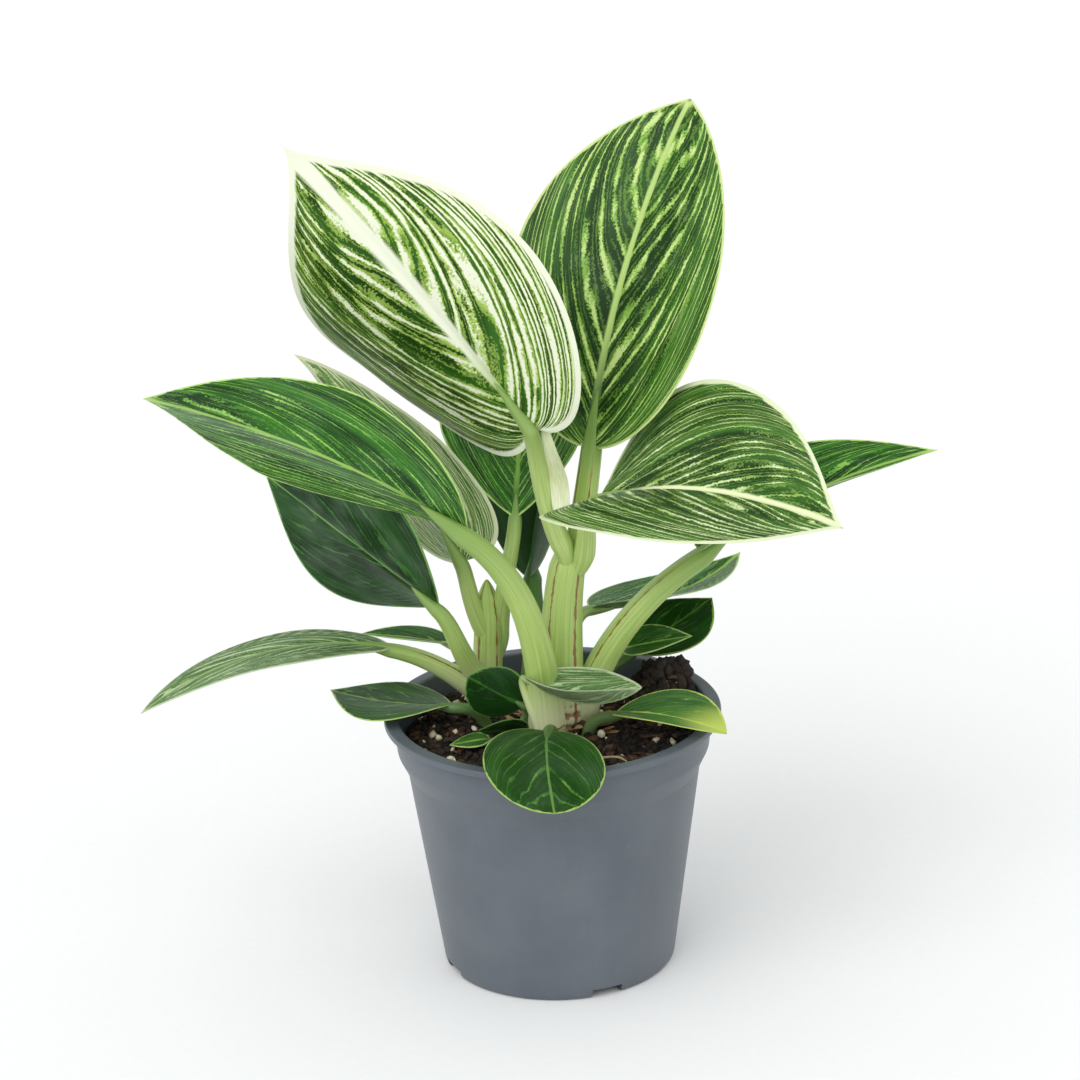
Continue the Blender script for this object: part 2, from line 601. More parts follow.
# %% Straps, flakes and threads
def strap_grid(route, widths, thickness, side, gutter, rows=30, around=20):
    """A flat tube; its edges are lifted by gutter times the square of the place across."""
    v = np.linspace(0, 1, rows)
    centres = smooth_route(route, v)
    wide = np.interp(v, np.linspace(0, 1, len(widths)), widths) / 2 * rounded_ends(v)
    grid, a = tube_grid(centres, wide, np.minimum(thickness / 2, wide), np.asarray(side, float), around)
    forward = unit(np.gradient(centres, axis=0))
    up = unit(np.cross(np.broadcast_to(side, centres.shape), forward))
    rise = gutter * wide[:, None] * np.cos(a) ** 2
    return grid + rise[..., None] * up[:, None]


def straps_piece(name, straps):
    """One mesh from several straps of the same number of rows and columns."""
    verts, faces, place = [], [], []
    for strap in straps:
        grid = strap_grid(**strap)
        more, _ = closed_faces(*grid.shape[:2], sum(len(v) for v in verts))
        verts.append(flat_rows(grid))
        faces += more
        a = np.linspace(0, 2 * np.pi, grid.shape[1])
        row = np.arange(grid.shape[0])[:, None]
        place.append(flat_rows(np.stack([6 * np.cos(a) + 0 * row, 6 * np.sin(a) + 0 * row, row + 0 * a],
                                        -1)))
    return new_piece(name, np.concatenate(verts), faces, None, first_place=np.concatenate(place))


route, widths = SHEATHS["cream_sheath"]
cream_sheath = straps_piece("grown_cream_sheath", [
    dict(route=route, widths=widths, thickness=1.6, side=(1, -0.35, 0), gutter=0.35, rows=60, around=28)])
print("cream sheath:", len(cream_sheath.data.polygons), "faces")


# %% [markdown]
# ## The pot
#
# A grower's pot is moulded from thin grey polypropylene: a tapered wall, a wider collar that the
# next pot in a stack rests on, a flat turned-out lip, and drain notches through the foot. It is a
# profile turned round the axis, with each corner rounded, and the notches are cut out of it.

# %% The pot's profile
POT_HEIGHT, FOOT_RADIUS, WALL_SLOPE, WALL, FLOOR_THICKNESS = 95, 41.5, 0.143, 1.6, 2.2
STEP_LOW, STEP_HIGH, COLLAR, COLLAR_TOP, LIP, LIP_HEIGHT = 75, 82, 55.6, 56.6, 60, 2.4


def wall(z):
    """The tapered wall's outer radius at height z."""
    return FOOT_RADIUS + WALL_SLOPE * z


POT_CORNERS = [  # radius, height, and how round the corner is, going up outside and down inside
    (wall(0), 0, 2.2), (wall(STEP_LOW), STEP_LOW, 0.3), (COLLAR, STEP_HIGH, 0.9),
    (COLLAR_TOP, POT_HEIGHT - LIP_HEIGHT, 1.2), (LIP, POT_HEIGHT - LIP_HEIGHT, 0.5), (LIP, POT_HEIGHT, 0.8),
    (COLLAR_TOP - WALL, POT_HEIGHT, 1.0), (COLLAR - WALL, STEP_HIGH, 1.2),
    (wall(STEP_LOW) - WALL, STEP_LOW - 2, 1.2), (wall(0) - WALL + 0.3, FLOOR_THICKNESS, 1.5),
]


def rounded_profile(corners, first, last, steps=7):
    """A line from first to last with each corner swapped for a curve that starts and ends near it.

    The curve is (1 - t)^2 a + 2 t (1 - t) corner + t^2 b, with a and b the given distance away."""
    points = np.array([first] + [c[:2] for c in corners] + [last], float)
    reach = np.array([c[2] for c in corners])[:, None]
    corner = points[1:-1]
    a = corner + unit(points[:-2] - corner) * reach
    b = corner + unit(points[2:] - corner) * reach
    t = np.linspace(0, 1, steps)[None, :, None]
    curves = (1 - t) ** 2 * a[:, None] + 2 * t * (1 - t) * corner[:, None] + t ** 2 * b[:, None]
    return np.concatenate([points[:1], curves.reshape(-1, 2), points[-1:]])


def turned_piece(name, profile, around=160):
    """The profile's points (radius, height) carried once round the axis."""
    a = 2 * np.pi * np.arange(around) / around
    grid = np.stack([profile[:, :1] * np.cos(a), profile[:, :1] * np.sin(a),
                     profile[:, 1:] + 0 * a], -1)
    faces, _ = closed_faces(len(profile), around)
    return new_piece(name, flat_rows(grid), [face[::-1] for face in faces])


pot = turned_piece("moulded_pot", rounded_profile(POT_CORNERS, (0, 0), (0, FLOOR_THICKNESS)))
print("pot's profile points:", len(pot.data.vertices) // 160)

# %% Drain notches
NOTCHES, NOTCH_WIDTH, NOTCH_HEIGHT, NOTCH_REACH, NOTCH_FIRST = 4, 11.5, 3.4, 33, math.radians(-67)


def cut_notches(piece):
    """Cuts a box through the foot at each notch; the box's corners are turned with the notch."""
    corners = np.array([(x, y, z) for x in (NOTCH_REACH, FOOT_RADIUS + 6)
                        for y in (-NOTCH_WIDTH / 2, NOTCH_WIDTH / 2) for z in (-3, NOTCH_HEIGHT)])
    turns = NOTCH_FIRST + 2 * np.pi * np.arange(NOTCHES) / NOTCHES
    c, s = np.cos(turns)[:, None], np.sin(turns)[:, None]
    x, y, z = corners.T
    verts = np.stack([x * c - y * s, x * s + y * c, z + 0 * c], -1).reshape(-1, 3)
    box = [(0, 1, 3, 2), (4, 6, 7, 5), (0, 4, 5, 1), (2, 3, 7, 6), (0, 2, 6, 4), (1, 5, 7, 3)]
    faces = [[k + 8 * n for k in face] for n in range(NOTCHES) for face in box]
    cutter = new_piece("notch_cutter", verts, faces)
    cut = piece.modifiers.new("notches", "BOOLEAN")
    cut.operation, cut.solver, cut.object = "DIFFERENCE", "EXACT", cutter
    done = bpy.data.meshes.new_from_object(piece.evaluated_get(bpy.context.evaluated_depsgraph_get()))
    piece.modifiers.clear()
    piece.data = done
    bpy.data.objects.remove(cutter)


cut_notches(pot)
pot.data.set_sharp_from_angle(angle=math.radians(38))
print("pot after cutting:", len(pot.data.polygons), "faces")


# %% [markdown]
# ## Potting soil
#
# The pot holds a peaty mix: dark crumbs, chips of bark, white grains of perlite, and a heap left
# at the back where the plant was pushed in. The bed is a disc of rings whose height follows the
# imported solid, roughened by noise of three sizes. Loose crumbs, chips and grains are scattered on
# it: each is one small stone of 32 faces, stretched, turned and roughened in its own way.

# %% The bed
SOIL_TOP, SOIL_HEAP, HEAP_AT, HEAP_SPREAD = 86, 16, (43, 20), 15
BED_RADIUS = COLLAR - WALL - 0.4


def soil_height(x, y):
    """A gentle crown, 2 (1 - r^2), and a heap that falls off as e^(-d^2) round its middle."""
    far = np.hypot(x - HEAP_AT[0], y - HEAP_AT[1]) / HEAP_SPREAD
    return SOIL_TOP + 2 * (1 - (x ** 2 + y ** 2) / COLLAR ** 2) + SOIL_HEAP * np.exp(-far ** 2)


def rough_height(x, y):
    """The soil's height with bumps of three sizes, larger on the heap."""
    flat = np.stack([x, y, 0 * x], -1)
    heap = np.exp(-(np.hypot(x - HEAP_AT[0], y - HEAP_AT[1]) / HEAP_SPREAD) ** 2)
    bumps = 0.9 * ripple(flat, 9, 1) + 0.6 * ripple(flat, 3.5, 2) + 0.35 * ripple(flat, 1.6, 3)
    return soil_height(x, y) - 1.2 + bumps * (1 + 1.2 * heap)


def make_bed(rings=80, around=150):
    """Rings of growing radius on top, a short wall down to 6 mm below, and a flat underside."""
    a = 2 * np.pi * np.arange(around) / around
    r = BED_RADIUS * np.linspace(0, 1, rings)[:, None]
    x, y = r * np.cos(a), r * np.sin(a)
    top = np.stack([x, y, rough_height(x, y)], -1)
    low = SOIL_TOP - 8
    wall_low = np.stack([x[-1:], y[-1:], low + 0 * x[-1:]], -1) * [0.985, 0.985, 1]
    under = wall_low * [0, 0, 1]
    grid = np.concatenate([top, wall_low, under])
    faces, _ = closed_faces(len(grid), around)
    return new_piece("soil_bed", flat_rows(grid), faces)


soil_bed = make_bed()
print("soil bed:", len(soil_bed.data.polygons), "faces")

# %% Scattered stones
def stone_shape():
    """A unit ball of 18 points and 32 triangles: an octahedron with each edge's middle added."""
    axes = np.array([(1, 0, 0), (-1, 0, 0), (0, 1, 0), (0, -1, 0), (0, 0, 1), (0, 0, -1)], float)
    corners = [(0, 2, 4), (2, 1, 4), (1, 3, 4), (3, 0, 4), (2, 0, 5), (1, 2, 5), (3, 1, 5), (0, 3, 5)]
    edges = sorted({tuple(sorted(pair)) for t in corners for pair in zip(t, t[1:] + t[:1])})
    middles = unit(np.array([axes[a] + axes[b] for a, b in edges]))
    number = {edge: 6 + i for i, edge in enumerate(edges)}
    faces = []
    for a, b, c in corners:
        ab, bc, ca = (number[tuple(sorted(p))] for p in ((a, b), (b, c), (c, a)))
        faces += [(a, ab, ca), (b, bc, ab), (c, ca, bc), (ab, bc, ca)]
    return np.concatenate([axes, middles]), np.array(faces)


def scatter(name, count, sizes, flatness, roughness, seed, sink=0.3, centre=(0, 0), spread=None):
    """Stones at random places on the bed, each stretched, turned and roughened at random.

    Sizes are half lengths; a stone's height is flatness times its length. Turning is by the
    three axes of a random frame, flattened so that thin chips lie nearly level."""
    chance = np.random.default_rng(seed)
    shape, faces = stone_shape()
    if spread is None:
        r = (BED_RADIUS - 2.5) * np.sqrt(chance.uniform(0, 1, count))
        a = chance.uniform(0, 2 * np.pi, count)
        x, y = r * np.cos(a), r * np.sin(a)
    else:
        x, y = (chance.normal(c, spread, count) for c in centre)
        inside = np.minimum(1, (BED_RADIUS - 2.5) / np.hypot(x, y))
        x, y = x * inside, y * inside
    size = chance.uniform(*sizes, count)[:, None] * np.stack(
        [np.ones(count), chance.uniform(0.5, 0.9, count), flatness * chance.uniform(0.6, 1.2, count)], -1)
    first = unit(chance.normal(size=(count, 3)) * [1, 1, 0.9 * flatness])
    second = unit(np.cross(np.array([0, 0, 1.0]) + 0.5 * flatness * chance.normal(size=(count, 3)), first))
    frames = np.stack([first, second, np.cross(first, second)], 1)
    rough = 1 + roughness * chance.normal(size=(count, len(shape), 1))
    points = (shape * rough * size[:, None]) @ frames
    points += np.stack([x, y, rough_height(x, y) + size[:, 2] * (1 - 2 * sink)], -1)[:, None]
    every = (faces[None] + len(shape) * np.arange(count)[:, None, None]).reshape(-1, 3)
    shade = np.repeat(chance.uniform(0, 1, (count, 3)), len(shape), axis=0)
    return new_piece(name, points.reshape(-1, 3), every.tolist(), first_place=shade)


crumbs = scatter("peat_crumbs", 1500, (0.6, 2.1), 0.75, 0.16, 11)
clods = scatter("peat_clods", 110, (1.4, 3.6), 0.75, 0.2, 12, 0.15, HEAP_AT, 8.5)
bark = scatter("bark_chips", 170, (1.1, 3.4), 0.28, 0.16, 13, 0.05)
perlite = scatter("perlite_grains", 95, (0.9, 2.0), 0.85, 0.14, 14, 0.1)
print("scattered:", [len(p.data.polygons) for p in (crumbs, clods, bark, perlite)], "faces")

# %% Flakes and threads round the crown
def crown_flakes(count, seed):
    """Dry flakes: short bent straps that lean out from the crown in random directions."""
    chance = np.random.default_rng(seed)
    a = chance.uniform(0, 2 * np.pi, count)
    r = chance.uniform(7, 15, count)
    x, y = 2 + r * np.cos(a), 1 + r * np.sin(a)
    start = np.stack([x, y, rough_height(x, y) + 0.6], -1)
    out = np.stack([np.cos(a + chance.normal(0, 0.9, count)), np.sin(a + chance.normal(0, 0.9, count)),
                    chance.uniform(0.1, 0.8, count)], -1)
    length = chance.uniform(5, 12, count)[:, None]
    bend = np.array([0, 0, 1.0]) * chance.uniform(-1.5, 2.2, count)[:, None]
    routes = np.stack([start, start + out * length / 2 + bend, start + out * length + bend * 0.3], 1)
    side = np.stack([-out[:, 1], out[:, 0], 0.3 + 0 * a], -1)
    return [dict(route=routes[i], widths=(2.5, chance.uniform(3, 5.5), 1), thickness=0.5, side=side[i],
                 gutter=chance.uniform(-0.4, 0.5), rows=12, around=10) for i in range(count)]


DRY_SHEATH = dict(route=[(-20, 18, 138), (-17, 17, 144), (-13, 17, 142), (-11, 17, 135)],
                  widths=(3, 5, 5, 2), thickness=0.6, side=(0.2, 0.4, 1), gutter=0.4, rows=12, around=10)
flakes = straps_piece("dry_flakes", crown_flakes(38, 21) + [DRY_SHEATH])
ROOTS = [
    dict(route=[(-44, -20, 87), (-45, -22, 90), (-46, -28, 91), (-44, -34, 87)], widths=(1, 1.2, 1, 0.8)),
    dict(route=[(10, -30, 87), (16, -33, 89.5), (23, -31, 88.5), (27, -34, 86)], widths=(0.8, 1, 0.9, 0.6)),
    dict(route=[(-12, -34, 87), (-17, -38, 89), (-25, -37, 88.5), (-30, -40, 86)],
         widths=(0.8, 1, 0.8, 0.5)),
]
roots = straps_piece("pale_roots", [
    dict(root, thickness=0.9, side=(0.1, 0.2, 1), gutter=0, rows=26, around=10) for root in ROOTS])
print("flakes and roots:", len(flakes.data.polygons), len(roots.data.polygons), "faces")


# %% [markdown]
# ## Finishes: two helpers
#
# A colour is written as a hex value, as a painter's chart gives it, and turned to the linear
# values a renderer adds up. One function adds a node with its settings and links; every finish
# below is a chain of them. Patterns read the points' attributes or the Object coordinates.

# %% Colour and node helpers
def linear(code):
    """A hex colour in linear light: ((c + 0.055) / 1.055) to the power 2.4, or c / 12.92 if dark."""
    c = np.array([int(code[i:i + 2], 16) for i in (1, 3, 5)]) / 255
    c = np.where(c <= 0.04045, c / 12.92, ((c + 0.055) / 1.055) ** 2.4)
    return (*c.tolist(), 1.0)


def add(tree, kind, inputs=(), **settings):
    """Adds a node. Each input is a value, a hex colour, or a node or socket to link from."""
    node = tree.nodes.new("ShaderNode" + kind)
    for key, value in settings.items():
        setattr(node, key, value)
    for key, value in dict(inputs).items():
        if isinstance(value, bpy.types.Node):
            value = next(socket for socket in value.outputs if socket.enabled)
        if isinstance(value, bpy.types.NodeSocket):
            tree.links.new(value, node.inputs[key])
        else:
            node.inputs[key].default_value = linear(value) if isinstance(value, str) else value
    return node


def finish(name, **settings):
    """A node material and its shader, with the settings on the shader's own sockets."""
    material = bpy.data.materials.new(name)
    material.use_nodes = True
    shader = material.node_tree.nodes["Principled BSDF"]
    for key, value in settings.items():
        shader.inputs[key.replace("_", " ")].default_value = value
    return material, material.node_tree, shader


print("mid grey is", round(linear("#808080")[0], 3), "in linear light")


# %% [markdown]
# ## Blade finish
#
# A blade is living tissue under a waxy skin: a soft gloss, an index near 1.4. Its upper side has
# dark green stripes a few millimetres wide that follow the side veins, with feathered edges, and
# thin lime or cream lines between them; the margin, the midrib and sometimes the tip are pale.
# The lines are evenly spaced along the veins, then pushed about and swollen by noise that is
# drawn out along them, so they wander, fade and run together as real ones do. Where a line is
# broad it turns from lime to cream. The underside is paler and duller.

# %% Looks of the leaves
# deep, mid, line and pale are colours; lines is how many lines lie in one unit of stripe place; wide is a
# line's share of its stripe, vary how much that changes along it, and lean how much wider lines are on the
# left half; threads is how strong the fine threads between lines are; rib is the midrib's half width at its
# base and its tip in mm, and rib_ends its colours there; band is the margin's width in mm, and tip where
# the tip begins.
LOOKS = {
    # More cream than green, with a broad cream midrib and margin.
    "cream": dict(deep="#1b3d0a", mid="#35641a", line="#a3c25a", pale="#e7ebd3", lines=11, wide=0.24,
                  vary=1.8, lean=0.2, rib=(0.6, 2.9), rib_ends=("#a0bd5e", "#ebeed8"), band=2.4,
                  tip=(0.95, 0.985), bloom=0.02, threads=0.7, rough=0.4),
    # Dark green with mid-green stripes, lime lines and a narrow pale edge.
    "lime": dict(deep="#18370e", mid="#34621f", line="#86b34a", pale="#c9dc8c", lines=10, wide=0.08,
                 vary=1.5, lean=0.0, rib=(1.8, 1.1), rib_ends=("#37652a", "#b5d07a"), band=0.9,
                 tip=(0.975, 1.0), bloom=0.08, threads=0.4, rough=0.38),
    # Many thin pale lines on green, with a broad greyish white edge.
    "silver": dict(deep="#183a0d", mid="#3a6a22", line="#97b95c", pale="#dde6bd", lines=13, wide=0.05,
                   vary=1.3, lean=-0.06, rib=(1.0, 1.6), rib_ends=("#2b5022", "#e3eab9"), band=1.5,
                   tip=(0.965, 0.99), bloom=0.05, threads=0.45, rough=0.4),
    # Dark green with a few thin lime lines and a bright tip.
    "lined": dict(deep="#163714", mid="#34701f", line="#6fae42", pale="#b7d97a", lines=11, wide=0.02,
                  vary=1.0, lean=-0.06, rib=(1.4, 1.0), rib_ends=("#3c6e2a", "#9cc560"), band=0.6,
                  tip=(0.96, 1.0), bloom=0.1, threads=0.4, rough=0.36),
    # Plain green with a thin pale edge.
    "edged": dict(deep="#1e4613", mid="#33651f", line="#5d8c3c", pale="#a9c473", lines=6, wide=-0.10,
                  vary=0.8, lean=0.0, rib=(0.9, 0.5), rib_ends=("#5f8f3b", "#86ab52"), band=0.6,
                  tip=(0.985, 1.0), bloom=0.05, threads=0.2, rough=0.38),
    # Glossy dark green with a broad soft bloom between the veins.
    "glossy": dict(deep="#123010", mid="#1f4a18", line="#3f7030", pale="#6f9c49", lines=6, wide=-0.14,
                   vary=0.8, lean=0.0, rib=(0.9, 0.5), rib_ends=("#33622a", "#6d9a45"), band=0.7,
                   tip=(0.99, 1.0), bloom=0.2, threads=0.2, rough=0.32),
    # A grey-green leaf seen mostly from below.
    "greyed": dict(deep="#3f6532", mid="#5a7f48", line="#a2ba80", pale="#bccaa4", lines=7, wide=0.06,
                   vary=1.1, lean=0.0, rib=(1.2, 0.6), rib_ends=("#8fae62", "#8fa86a"), band=0.9,
                   tip=(0.985, 1.0), bloom=0.1, threads=0.5, rough=0.45),
    # Pale leaf with lime and dark streaks.
    "pale": dict(deep="#4a7034", mid="#6c9148", line="#a5bf74", pale="#dfe5bf", lines=11, wide=0.22,
                 vary=1.3, lean=0.0, rib=(1.2, 0.9), rib_ends=("#b4c88a", "#d3deaa"), band=1.8,
                 tip=(0.96, 1.0), bloom=0.06, threads=0.8, rough=0.45),
    # Deep plain green, in the shade of the crown.
    "dark": dict(deep="#163812", mid="#1f4a18", line="#2c5a20", pale="#5f8a40", lines=6, wide=-0.16,
                 vary=0.6, lean=0.0, rib=(0.8, 0.5), rib_ends=("#3c6a2a", "#3c6a2a"), band=0.5,
                 tip=(0.99, 1.0), bloom=0.06, threads=0.1, rough=0.36),
    # Green that turns yellow-green over its last third.
    "tipped": dict(deep="#2f5f22", mid="#4c7f2e", line="#7ba74a", pale="#c4d564", lines=6, wide=-0.12,
                   vary=0.5, lean=0.0, rib=(1.0, 0.6), rib_ends=("#82a952", "#c0d374"), band=0.8,
                   tip=(0.7, 0.97), bloom=0.08, threads=0.2, rough=0.38),
    # Green with faint pale lines that fan out from the base, and a bright edge.
    "rayed": dict(deep="#193f10", mid="#265418", line="#3f7029", pale="#9fbc62", lines=6, wide=-0.06,
                  vary=0.6, lean=0.0, rib=(0.5, 0.4), rib_ends=("#4c7a30", "#5f8c3c"), band=0.6,
                  tip=(0.99, 1.0), bloom=0.08, threads=0.15, rough=0.36),
}
print(len(LOOKS), "looks")


# %% Blade material
def mixed(code, other, share):
    """Two hex colours mixed by share, channel by channel, and given as hex again."""
    pairs = zip(*([int(c[i:i + 2], 16) for i in (1, 3, 5)] for c in (code, other)))
    return "#" + "".join(f"{round(a + (b - a) * share):02x}" for a, b in pairs)


def blade_finish(name, look, below=False):
    """The waxy blade: stripes, thin lines, cream patches, midrib, margin, tip and bloom, in turn."""
    grey, share = "#a3b08c", 0.42 if below else 0.0
    deep, mid, line, pale = (mixed(look[key], grey, share) for key in ("deep", "mid", "line", "pale"))
    rib_base, rib_tip = (mixed(code, "#b9c98e", 0.55 if below else 0) for code in look["rib_ends"])
    material, tree, shader = finish(name, IOR=1.4, Specular_IOR_Level=0.22,
                                    Roughness=look["rough"] + (0.18 if below else 0))
    first = add(tree, "SeparateXYZ", {0: add(tree, "Attribute",
                                             attribute_name="first_place").outputs["Vector"]})
    second = add(tree, "SeparateXYZ", {0: add(tree, "Attribute",
                                              attribute_name="second_place").outputs["Vector"]})
    stripe, across, along = (first.outputs[key] for key in "XYZ")
    from_margin, from_midrib, seed = (second.outputs[key] for key in "XYZ")
    spot = add(tree, "TexCoord").outputs["Object"]

    # Feathered edges: a grain of about 0.8 mm moves each point a little across the lines.
    grain = add(tree, "TexNoise", {"Vector": spot, "Scale": 1 / (0.8 * MM), "Detail": 3.0})
    frayed = add(tree, "Math", {0: grain, 1: 0.042, 2: stripe}, operation="MULTIPLY_ADD")
    shift = add(tree, "Math", {0: seed, 1: 7.31}, operation="MULTIPLY")

    # Slow noise spaces the lines unevenly; fine noise, long drawn, swells and breaks each line.
    slow_across = add(tree, "Math", {0: stripe, 1: 0.42 * look["lines"]}, operation="MULTIPLY")
    length = add(tree, "Math", {0: across, 1: 0.9, 2: shift}, operation="MULTIPLY_ADD")
    slow = add(tree, "TexNoise", {"Vector": add(tree, "CombineXYZ", {0: slow_across, 1: length, 2: shift}),
                                  "Scale": 1.0, "Detail": 2.0})
    count = add(tree, "Math", {0: frayed, 1: float(look["lines"])}, operation="MULTIPLY")
    phase = add(tree, "Math", {0: slow, 1: 3.4, 2: count}, operation="MULTIPLY_ADD")
    length_fine = add(tree, "Math", {0: length, 1: 5.0}, operation="MULTIPLY")
    fine = add(tree, "TexNoise", {"Vector": add(tree, "CombineXYZ", {0: phase, 1: length_fine, 2: shift}),
                                  "Scale": 1.1, "Detail": 3.0, "Roughness": 0.6})
    width = add(tree, "Math", {0: fine, 1: look["vary"], 2: look["wide"] - look["vary"] / 2},
                operation="MULTIPLY_ADD")
    width = add(tree, "Math", {0: across, 1: -look["lean"], 2: width}, operation="MULTIPLY_ADD")

    # A line's middle is where the phase is whole: folded, it is 0 there and 1 between two lines.
    folded = add(tree, "Math", {0: phase, 1: 0.5}, operation="PINGPONG")
    outside = add(tree, "Math", {0: folded, 1: 2.0}, operation="MULTIPLY")
    outside = add(tree, "Math", {0: outside, 1: width}, operation="SUBTRACT")
    halo = add(tree, "MapRange", {"Value": outside, 1: 0.30, 2: 0.06}, interpolation_type="SMOOTHSTEP")
    cream = add(tree, "MapRange", {"Value": outside, 1: 0.08, 2: -0.12}, interpolation_type="SMOOTHSTEP")
    between = add(tree, "Math", {0: phase, 1: 3.0}, operation="MULTIPLY")
    between = add(tree, "Math", {0: between, 1: 0.5}, operation="PINGPONG")
    between = add(tree, "Math", {0: fine, 1: -0.9, 2: between}, operation="MULTIPLY_ADD")
    thread = add(tree, "MapRange", {"Value": between, 1: -0.24, 2: -0.4, 3: 0.0, 4: look["threads"]},
                 interpolation_type="SMOOTHSTEP")
    green = add(tree, "MapRange", {"Value": slow, 1: 0.4, 2: 0.68}, interpolation_type="SMOOTHSTEP")

    # The midrib's half width grows or shrinks along it; the margin's band wavers by half a millimetre.
    half = add(tree, "MapRange", {"Value": along, 1: 0.25, 2: 0.75, 3: look["rib"][0], 4: look["rib"][1]})
    wander = add(tree, "Math", {0: fine, 1: 1.6, 2: -0.8}, operation="MULTIPLY_ADD")
    near_rib = add(tree, "Math", {0: from_midrib, 1: wander}, operation="ADD")
    near_rib = add(tree, "Math", {0: near_rib, 1: half}, operation="DIVIDE")
    rib = add(tree, "MapRange", {"Value": near_rib, 1: 1.25, 2: 0.6}, interpolation_type="SMOOTHSTEP")
    rib_tone = add(tree, "MapRange", {"Value": along, 1: 0.3, 2: 0.62}, interpolation_type="SMOOTHSTEP")
    rib_colour = add(tree, "Mix", {0: rib_tone, 6: rib_base, 7: rib_tip}, data_type="RGBA")
    near_edge = add(tree, "Math", {0: wander, 1: 1.1, 2: from_margin}, operation="MULTIPLY_ADD")
    edge = add(tree, "MapRange", {"Value": near_edge, 1: look["band"] * 1.15, 2: look["band"] * 0.75},
               interpolation_type="SMOOTHSTEP")
    tip = add(tree, "MapRange", {"Value": along, 1: look["tip"][0], 2: look["tip"][1]},
              interpolation_type="SMOOTHSTEP")

    colour = add(tree, "Mix", {0: green, 6: deep, 7: mid}, data_type="RGBA")
    for mask, paint in ((thread, line), (halo, line), (cream, pale), (rib, rib_colour), (edge, pale),
                        (tip, pale)):
        colour = add(tree, "Mix", {0: mask, 6: colour, 7: paint}, data_type="RGBA")

    # Bloom: a thin grey wax, patchy over 12 mm, that follows the veins a little.
    patch = add(tree, "TexNoise", {"Vector": spot, "Scale": 1 / (12 * MM), "Detail": 1.0})
    patch = add(tree, "MapRange", {"Value": patch, 1: 0.42, 2: 0.68, 3: 0.0, 4: look["bloom"]})
    waxed = add(tree, "Math", {0: patch, 1: fine}, operation="MULTIPLY")
    colour = add(tree, "Mix", {0: waxed, 6: colour, 7: "#9aa79b"}, data_type="RGBA")
    bumps = add(tree, "Math", {0: grain, 1: 0.35, 2: fine}, operation="MULTIPLY_ADD")
    bump = add(tree, "Bump", {"Strength": 0.35, "Distance": 0.25 * MM, "Height": bumps})
    tree.links.new(colour.outputs[2], shader.inputs["Base Color"])
    tree.links.new(bump.outputs[0], shader.inputs["Normal"])
    return material


blades = {key: (blade_finish("waxy_blade_" + key, look), blade_finish("matt_underside_" + key, look, True))
          for key, look in LOOKS.items()}
print("blade finishes:", len(blades) * 2)


# %% [markdown]
# ## Stalks, stems and sheaths
#
# A stalk is juicy and smooth: yellow-green, with fine paler lines along it and a red-brown seam
# where its sheath's edge dried. A stem has the same skin with brown rings. The young sheath is
# cream and satin; the dry ones are thin brown paper with fibres along them.

# %% Stalk and stem
def stalk_finish(name, light, dark, seam, seam_strength, blanch=0.75):
    """Lengthwise streaks 1 mm wide, greener near the blade and blanched towards the ground, with a
    seam along both edges of the channel, and brown scars.

    A scar is where the second attribute's Y, the distance from a ring in mm, is small."""
    material, tree, shader = finish(name, IOR=1.42, Roughness=0.38)
    place = add(tree, "Attribute", attribute_name="first_place").outputs["Vector"]
    way = add(tree, "SeparateXYZ", {0: add(tree, "Attribute",
                                           attribute_name="second_place").outputs["Vector"]})
    drawn = add(tree, "VectorMath", {0: place, 1: (0.8, 0.8, 0.03)}, operation="MULTIPLY")
    streak = add(tree, "TexNoise", {"Vector": drawn, "Scale": 1.0, "Detail": 3.0})
    tone = add(tree, "MapRange", {"Value": streak, 1: 0.25, 2: 0.75})
    colour = add(tree, "Mix", {0: tone, 6: dark, 7: light}, data_type="RGBA")
    upper = add(tree, "MapRange", {"Value": way.outputs["X"], 1: 0.45, 2: 0.85, 3: 0.0, 4: 0.7})
    colour = add(tree, "Mix", {0: upper, 6: colour, 7: mixed(dark, "#3f6a28", 0.6)}, data_type="RGBA")
    ground = add(tree, "SeparateXYZ", {0: add(tree, "TexCoord").outputs["Object"]}).outputs["Z"]
    blanched = add(tree, "MapRange", {"Value": ground, 1: 112 * MM, 2: 92 * MM, 3: 0.0, 4: blanch})
    colour = add(tree, "Mix", {0: blanched, 6: colour, 7: "#e3e2bf"}, data_type="RGBA")
    fleck = add(tree, "TexNoise", {"Vector": place, "Scale": 0.22, "Detail": 3.0})
    above = add(tree, "Math", {0: way.outputs["Z"], 1: -1.0, 2: -0.78}, operation="MULTIPLY_ADD")
    near = add(tree, "Math", {0: above}, operation="ABSOLUTE")
    width = add(tree, "MapRange", {"Value": fleck, 1: 0.42, 2: 0.65, 3: 0.02, 4: 0.075})
    line = add(tree, "Math", {0: near, 1: width}, operation="LESS_THAN")
    low = add(tree, "MapRange", {"Value": way.outputs["X"], 1: 0.8, 2: 0.5, 3: 0.0, 4: seam_strength})
    line = add(tree, "Math", {0: line, 1: low}, operation="MULTIPLY")
    scar = add(tree, "Math", {0: fleck, 1: -3.2, 2: way.outputs["Y"]}, operation="MULTIPLY_ADD")
    scar = add(tree, "MapRange", {"Value": scar, 1: -0.2, 2: -0.9, 3: 0.0, 4: 0.8},
               interpolation_type="SMOOTHSTEP")
    for mask in (line, scar):
        colour = add(tree, "Mix", {0: mask, 6: colour, 7: seam}, data_type="RGBA")
    bump = add(tree, "Bump", {"Strength": 0.15, "Distance": 0.15 * MM, "Height": streak})
    tree.links.new(colour.outputs[2], shader.inputs["Base Color"])
    tree.links.new(bump.outputs[0], shader.inputs["Normal"])
    return material


